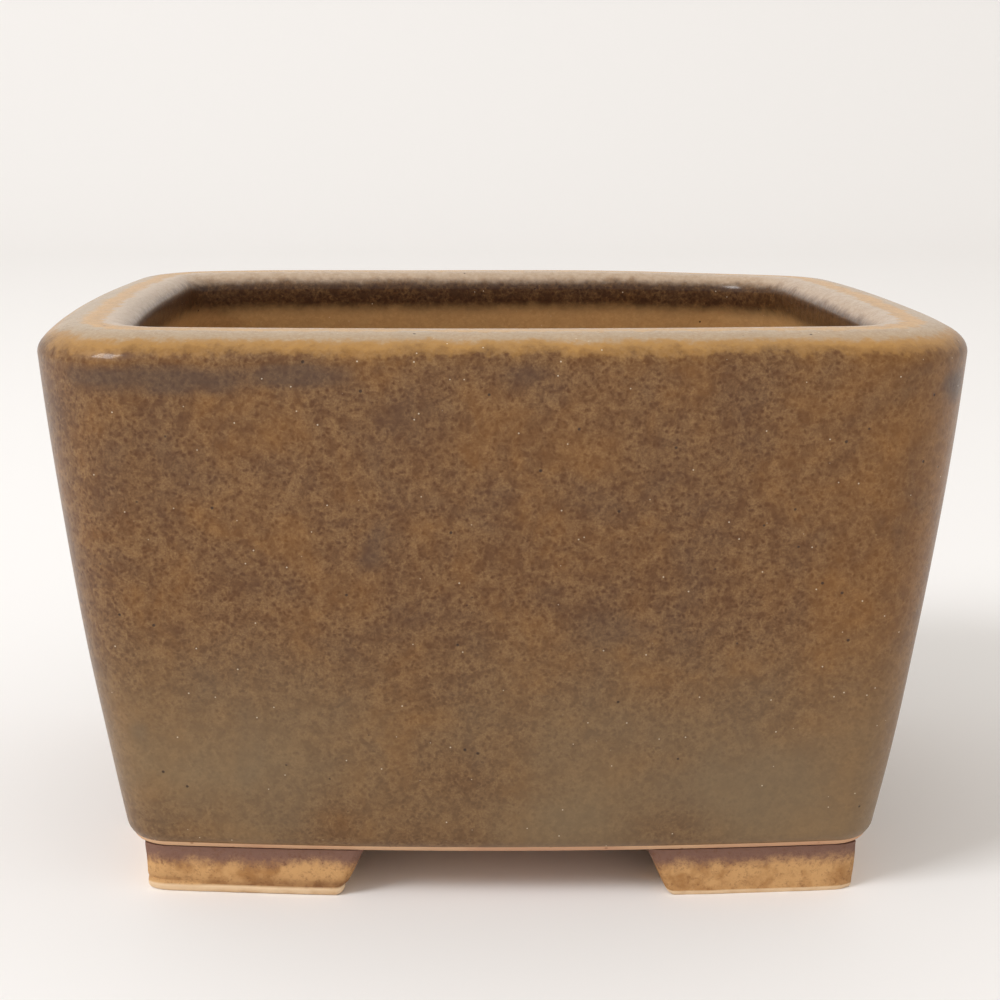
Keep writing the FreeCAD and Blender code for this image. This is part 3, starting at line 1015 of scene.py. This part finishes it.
    def paint(self, coat: bpy.types.Object, points: np.ndarray, run: np.ndarray) -> None:
        """Stores the distance over the rim, the dark pools and the thin edges on the mesh.

        Args:
            coat: the glaze object.
            points: its vertices as rings.
            run: millimetres across the rim, zero at the crest and positive inward, one per vertex.
        """
        flat = points.reshape(-1, 3)
        ragged = SmoothNoise(SEED + 21, 1.7)(flat) * 0.5 + SmoothNoise(SEED + 22, 4.0)(flat) * 0.5
        pool = np.zeros(len(flat))
        for spot in self.pools:
            away = (flat - (spot.x, spot.y, spot.z)) / spot.reach
            near = np.sqrt((away**2).sum(axis=1)) + 0.55 * ragged
            pool = np.maximum(pool, spot.depth * (1.0 - smooth_step(near, 0.35, 1.25)))
        low = flat[:, 2] - self.form.base
        thin = 0.35 * (1.0 - smooth_step(low, 0.5, 1.4)) * (run < 0)
        for name, values in (("run", run), ("pool", pool), ("thin", thin)):
            store(coat.data, name, values)
        edges = np.hypot(*np.diff(points[0, :, :2], axis=0, append=points[0, :1, :2]).T)
        length = edges.sum()
        turn = 2 * math.pi * np.concatenate([[0.0], np.cumsum(edges)[:-1]]) / length
        around = np.c_[np.cos(turn), np.sin(turn)] * length / (2 * math.pi)
        place = np.c_[np.tile(around, (len(points), 1)), run * self.streak_stretch]
        store(coat.data, "rim_place", place)


# -- The clay ------------------------------------------------


@dataclass
class ClayBody:
    """Walls, lip strips, floor and floor coil of bare stoneware."""

    form: PotForm
    finish: BareStoneware = field(default_factory=BareStoneware)
    clearance: float = 0.02
    coil_round: float = 4.0
    press_mm: float = 9.5
    press_depth: float = 0.35

    def wall_rows(self) -> list[tuple[float, float, float]]:
        """Closed section of a wall: up the outside, across the top and down the inside."""
        form, skin = self.form, self.form.glaze + self.clearance
        rows = []
        for height in np.linspace(form.floor_top, form.wall_top, 16):
            rows.append((form.wall_inset(height) + skin, height, form.wall_corner(height) - skin))
        for height in np.linspace(form.wall_top, form.floor_top, 44):
            rows.append((form.cavity_inset(height), height, form.cavity_corner(height)))
        return rows

    def lip_rows(self) -> list[tuple[float, float, float]]:
        """Closed section of a lip strip, a glaze coat inside the glazed one."""
        coat = GlazeCoat(self.form)
        form, skin = self.form, self.form.glaze + self.clearance
        glazed = [row for row in coat.outside_rows() if row[1] > form.wall_top + skin]
        over = coat.inside_rows()
        glazed += [row for row in over if row[1] >= form.wall_top]
        profile = np.array([(inset, height) for inset, height, _ in glazed])
        clay = profile + into_clay(profile) * skin
        rows = [
            (inset, max(height, form.wall_top), row[2] - (inset - row[0]))
            for (inset, height), row in zip(clay, glazed)
        ]
        return rows[::2] + [rows[-1]]

    def slab(
        self, name: str, side: Side, rows: list[tuple[float, float, float]], material: bpy.types.Material
    ) -> bpy.types.Object:
        """One mitred slab of the wall or lip.

        Args:
            name: the piece's name.
            side: which side of the pot.
            rows: its closed section.
            material: the clay.

        Returns:
            The piece.
        """
        rings = self.form.place(rows)[:, self.form.side_columns(side)]
        faces = loop_faces(len(rows), rings.shape[1], around=False)
        return make_object(name, rings.reshape(-1, 3), faces, material, sharp=50.0)

    def coil(self, material: bpy.types.Material) -> bpy.types.Object:
        """The coil of soft clay in the floor joint, dented by the fingertips that pressed it home.

        Args:
            material: the clay.

        Returns:
            The piece.
        """
        form = self.form
        low, reach = form.floor_top, self.coil_round
        rows = [(form.cavity_inset(low) - 0.05, low - 0.05, form.cavity_corner(low))]
        for height in (low + reach * 0.4, low + reach * 0.8):
            rows.append((form.cavity_inset(height) - 0.05, height, form.cavity_corner(height)))
        for turn in np.radians(np.linspace(0.0, 90.0, 12)):
            inset = form.cavity_inset(low + reach) + reach * 0.92 * (1 - math.cos(turn))
            height = low - 0.05 + reach * 0.85 * (1 - math.sin(turn))
            rows.append((max(inset, form.cavity_inset(height) - 0.03), height, form.cavity_corner(low)))
        rings = form.place(rows)
        around = np.cumsum(np.hypot(*np.diff(rings[-1][:, :2], axis=0, append=rings[-1][:1, :2]).T))
        dents = self.press_depth * (0.5 + 0.5 * np.cos(2 * math.pi * around / self.press_mm))
        centre = rings[:, :, :2] / np.hypot(rings[:, :, 0], rings[:, :, 1])[..., None]
        weight = np.zeros(len(rows))
        weight[5:-2] = np.sin(np.linspace(0.0, math.pi, len(rows) - 7))
        rings[:, :, :2] += centre * (weight[:, None] * dents)[..., None]
        faces = loop_faces(len(rows), rings.shape[1], around=True)
        return make_object("floor_coil_pressed", rings.reshape(-1, 3), faces, material, sharp=60.0)

    def build(self, material: bpy.types.Material) -> list[tuple[bpy.types.Object, str]]:
        """Makes every wall, lip strip and the coil.

        Args:
            material: the clay.

        Returns:
            Each piece with the CAD node that it stands for.
        """
        made = []
        wall_rows, lip_rows = self.wall_rows(), self.lip_rows()
        for side in Side:
            node = side.name.lower()
            made.append((self.slab(f"wall_{node}_clay", side, wall_rows, material), f"wall_{node}"))
            made.append((self.slab(f"lip_{node}_clay", side, lip_rows, material), f"lip_{node}"))
        made.append((self.coil(material), "floor_coil"))
        return made


@dataclass(frozen=True)
class FootTrim:
    """How one foot was cut and wiped: its bottom arris, the crease above it and its extra length."""

    corner: Corner
    arris: float
    crease: float
    longer: float


@dataclass
class Feet:
    """Four corner feet cut from a band of clay, each with its own trimming marks."""

    form: PotForm
    finish: WashedStoneware = field(default_factory=WashedStoneware)
    inset: float = 8.15
    taper: float = 0.3
    corner: float = 3.2
    leg: float = 8.0
    front_gap: float = 29.2
    side_gap: float = 22.0
    slope: float = 2.1
    end_round: float = 1.1
    rough: float = 0.07
    leg_length: float = 20.0
    long_spare: float = 1.8
    end_spare: float = 0.6
    trims: tuple[FootTrim, ...] = (
        FootTrim(Corner.FRONT_LEFT, 0.95, 0.24, 0.9),
        FootTrim(Corner.FRONT_RIGHT, 0.55, 0.0, 0.0),
        FootTrim(Corner.REAR_RIGHT, 1.1, 0.12, 0.3),
        FootTrim(Corner.REAR_LEFT, 0.8, 0.0, -0.3),
    )

    def leg_line(self, inset: float, radius: float) -> tuple[np.ndarray, np.ndarray]:
        """The plan line of a foot in the quadrant where x and y are positive.

        Args:
            inset: how far the line lies inside the nominal outline.
            radius: plan radius of its corner.

        Returns:
            Points from the gap in the long side to the corner's middle, and on to the gap in the end.
        """
        to_end, to_long = self.form.quadrant(inset, radius)
        long_leg = to_long[::-1]
        long_leg = long_leg[long_leg[:, 0] >= self.front_gap / 2 - self.long_spare]
        end_leg = to_end[::-1]
        end_leg = end_leg[end_leg[:, 1] >= self.side_gap / 2 - self.end_spare]
        return long_leg, end_leg

    @staticmethod
    def along(line: np.ndarray, axis: int, gap: float, cut: np.ndarray, share: float) -> np.ndarray:
        """Points on a leg at one share of its length, with its outer end cut back.

        Args:
            line: plan points from the gap to the corner's middle.
            axis: 0 where the leg runs along x, 1 where it runs along y.
            gap: where the leg starts on that axis.
            cut: how much of the leg's end is cut away.
            share: from 0 at the cut end to 1 at the corner's middle.

        Returns:
            Plan points.
        """
        steps = np.hypot(*np.diff(line, axis=0).T)
        length = np.concatenate([[0.0], np.cumsum(steps)])
        start = np.interp(gap + cut, line[:, axis], length)
        wanted = start + (length[-1] - start) * share
        return np.stack([np.interp(wanted, length, line[:, 0]), np.interp(wanted, length, line[:, 1])], -1)

    def section(self, trim: FootTrim) -> np.ndarray:
        """Closed section across a leg: down the outer face, under, and up the inner face.

        Args:
            trim: the foot's trimming.

        Returns:
            Rows of share across the leg, height, and how clean the clay was wiped there.
        """
        high, edge = self.form.base + 0.05, trim.arris
        points = [(0.0, height, 0.0) for height in np.linspace(high, edge, 14)]
        for turn in np.radians(np.linspace(0.0, 90.0, 8)[1:]):
            points.append((edge * 0.45 * (1 - math.cos(turn)), edge * (1 - math.sin(turn)), 1.0))
        points += [(across, 0.0, 0.8) for across in np.linspace(edge, self.leg - 0.8, 12)[1:-1]]
        for turn in np.radians(np.linspace(0.0, 90.0, 6)):
            points.append((self.leg - 0.8 * (1 - math.sin(turn)), 0.8 * (1 - math.cos(turn)), 0.6))
        points += [(self.leg, height, 0.0) for height in np.linspace(0.8, high, 10)[1:]]
        points += [(across, high, 0.0) for across in np.linspace(self.leg, 0.0, 6)[1:-1]]
        return np.array(points)

    def foot(self, trim: FootTrim, material: bpy.types.Material) -> bpy.types.Object:
        """One foot.

        Args:
            trim: its corner and its trimming.
            material: the foot clay.

        Returns:
            The piece.
        """
        section = self.section(trim)
        across, height, wiped = section.T
        sign = np.array(trim.corner.value)
        seed = SEED + 31 + list(Corner).index(trim.corner) * 5
        high = self.form.base
        crowded = 1.2 * (1 - np.cos(np.linspace(0, math.pi / 2, 7)[:-1])) / self.leg_length
        tau = np.concatenate([crowded, np.linspace(0.06, 1.0, 30)])
        fall = 1 - height / high
        outer_lines = self.leg_line(self.inset + self.taper, self.corner)
        inner_lines = self.leg_line(self.inset + self.leg, self.corner / 2)
        gaps = (self.front_gap / 2 - trim.longer, self.side_gap / 2)
        rings = []
        for axis, shares in enumerate((tau, tau[::-1][1:])):
            for share in shares:
                near = max(0.0, self.end_round - share * self.leg_length)
                shrink = self.end_round - math.sqrt(max(0.0, self.end_round**2 - near * near))
                squeeze = shrink / self.leg
                part = squeeze + np.clip(across / self.leg, 0.0, 1.0) * (1 - 2 * squeeze)
                outer = self.along(outer_lines[axis], axis, gaps[axis], self.slope * fall, share)
                inner = self.along(inner_lines[axis], axis, gaps[axis], self.slope * fall, share)
                plan = outer + (inner - outer) * part[:, None]
                plan += (outer - inner) / self.leg * (self.taper * height / high)[:, None]
                rings.append(np.c_[plan * sign, height + shrink * 0.7 * fall])
        points = np.array(rings)
        coarse, fine = SmoothNoise(seed, 2.6), SmoothNoise(seed + 1, 0.9)
        outward = np.where(across < self.leg / 2, 1.0, -1.0) * (height > 0.02) * (height < high - 0.2)
        wave = self.rough * (coarse(points) + 0.5 * fine(points))
        groove_at = trim.arris + 0.25 + 0.5 * SmoothNoise(seed + 2, 7.0)(points)
        groove = trim.crease * np.exp(-(((points[..., 2] - groove_at) / 0.22) ** 2)) * (across < 0.1)
        push = wave - groove
        middle = points.mean(axis=(0, 1)) * (1, 1, 0)
        away = points - middle
        away[..., 2] = 0.0
        away /= np.maximum(np.hypot(away[..., 0], away[..., 1]), 1e-6)[..., None]
        points += away * (push * outward)[..., None]
        columns = len(across)
        faces = loop_faces(columns, len(points), around=False)
        turned = points.transpose(1, 0, 2)
        if sign[0] * sign[1] > 0:
            faces = [face[::-1] for face in faces]
        name = f"foot_{trim.corner.name.lower()}_cut"
        made = make_object(name, turned.reshape(-1, 3), faces, material, sharp=55.0)
        ragged = SmoothNoise(seed + 3, 0.9)(turned) * 0.45
        clean = np.clip(wiped[:, None] + ragged * (wiped[:, None] > 0), 0.0, 1.0) * np.ones(turned.shape[:2])
        # Painted shade in the crease just above the arris, stronger on the long sides near the gap between
        # the feet.
        crease_shade = np.exp(-((np.maximum(turned[..., 2] - groove_at.T - 0.1, 0.0) / 0.7) ** 2)) * (trim.crease > 0)
        crease_shade = crease_shade * (across[:, None] < 0.1) * (turned[..., 2] > groove_at.T - 0.15)
        crease_shade = crease_shade * (0.45 + 0.55 * smooth_step(-np.abs(turned[..., 0]), -30.0, -17.0))
        store(made.data, "wiped", clean.ravel())
        store(made.data, "crease_shade", crease_shade.ravel())
        return made

    def build(self, material: bpy.types.Material) -> list[tuple[bpy.types.Object, str]]:
        """Makes the four feet.

        Args:
            material: the foot clay.

        Returns:
            Each foot with the CAD node that it stands for.
        """
        return [(self.foot(trim, material), f"foot_{trim.corner.name.lower()}") for trim in self.trims]


# -- The studio ----------------------------------------------


@dataclass
class Studio:
    """A white paper sweep, a large soft key from the left and a camera at table height."""

    paper: BackdropPaper = field(default_factory=BackdropPaper)
    sweep_width: float = 3000.0
    sweep_front: float = -700.0
    sweep_back: float = 900.0
    sweep_round: float = 350.0
    sweep_height: float = 1500.0
    camera_place: tuple[float, float, float] = (-8.89, -203.63, 76.63)
    camera_pitch: float = 11.68
    camera_roll: float = 0.09
    lens: float = 66.02
    sensor: float = 36.0
    shift: float = 0.0883
    key_place: tuple[float, float, float] = (-880.0, -615.0, 900.0)
    key_aim: tuple[float, float, float] = (0.0, 0.0, 20.0)
    key_size: float = 480.0
    key_watts: float = 10.2
    key_colour: str = "#FAFCFF"
    sky: str = "#F5F2ED"
    sky_strength: float = 0.92

    def build_sweep(self) -> bpy.types.Object:
        """The floor and backdrop in one curved sheet.

        Returns:
            The sheet.
        """
        turn = np.radians(np.linspace(0.0, 90.0, 24))
        curve = [(self.sweep_front, 0.0)]
        radius = self.sweep_round
        curve += [(self.sweep_back + radius * math.sin(t), radius * (1 - math.cos(t))) for t in turn]
        curve.append((self.sweep_back + radius, self.sweep_height))
        half = self.sweep_width / 2
        points = np.array([(x, y, z) for y, z in curve for x in (-half, half)])
        faces = [(2 * k, 2 * k + 1, 2 * k + 3, 2 * k + 2) for k in range(len(curve) - 1)]
        return make_object("studio_sweep", points, faces, self.paper.make(), sharp=60.0)

    def build_key(self) -> None:
        """A square soft light, up on the left and a little in front."""
        data = bpy.data.lights.new("key", "AREA")
        data.shape = "SQUARE"
        data.size = self.key_size * MM
        data.energy = self.key_watts
        data.color = linear(self.key_colour)[:3]
        lamp = bpy.data.objects.new("key", data)
        lamp.location = Vector(self.key_place) * MM
        aim = Vector(self.key_aim) - Vector(self.key_place)
        lamp.rotation_euler = aim.to_track_quat("-Z", "Y").to_euler()
        bpy.context.scene.collection.objects.link(lamp)

    def build_camera(self) -> None:
        """A fixed camera in front of the pot, looking a little down."""
        data = bpy.data.cameras.new("studio_camera")
        data.lens, data.sensor_width, data.shift_x = self.lens, self.sensor, self.shift
        data.clip_start, data.clip_end = 0.01, 20.0
        camera = bpy.data.objects.new("studio_camera", data)
        camera.location = Vector(self.camera_place) * MM
        camera.rotation_mode = "XYZ"
        level = math.pi / 2 - math.radians(self.camera_pitch)
        camera.rotation_euler = (level, math.radians(self.camera_roll), 0.0)
        bpy.context.scene.collection.objects.link(camera)
        bpy.context.scene.camera = camera

    def build(self) -> None:
        """Makes the sweep, the lights, the sky and the camera."""
        self.build_sweep()
        self.build_key()
        world = bpy.data.worlds.new("studio_sky")
        world.use_nodes = True
        tree = world.node_tree
        tree.nodes.clear()
        sky = add_node(
            tree, "ShaderNodeBackground", {"Color": linear(self.sky), "Strength": self.sky_strength}
        )
        add_node(tree, "ShaderNodeOutputWorld", None, {"Surface": sky.outputs[0]})
        bpy.context.scene.world = world
        bpy.context.scene.view_settings.view_transform = "Standard"
        self.build_camera()


# -- Assembly ------------------------------------------------


def attach(piece: bpy.types.Object, node: str) -> None:
    """Rides a piece on the pot's one body, in place of its CAD node.

    Args:
        piece: the piece.
        node: the CAD node that it stands for.
    """
    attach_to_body(piece, "root")
    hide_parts(node)
    LOG.info("%s: %d faces, stands for %s", piece.name, len(piece.data.polygons), node)


def main() -> None:
    """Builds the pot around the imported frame, then the studio."""
    logging.basicConfig(level=logging.INFO, format="%(message)s")
    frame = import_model()
    form = PotForm.from_frame()

    clay = ClayBody(form)
    clay_material = clay.finish.make()
    for piece, node in clay.build(clay_material):
        attach(piece, node)
    slab = frame["nodes"]["floor_slab"]
    slab.data.materials.clear()
    slab.data.materials.append(clay_material)
    LOG.info("floor_slab: the CAD shape, in %s", clay_material.name)

    feet = Feet(form)
    for piece, node in feet.build(feet.finish.make()):
        attach(piece, node)

    coat = GlazeCoat(form)
    attach(coat.build(coat.finish.make()), "glaze_coat")

    Studio().build()


if __name__ == "__main__":
    main()
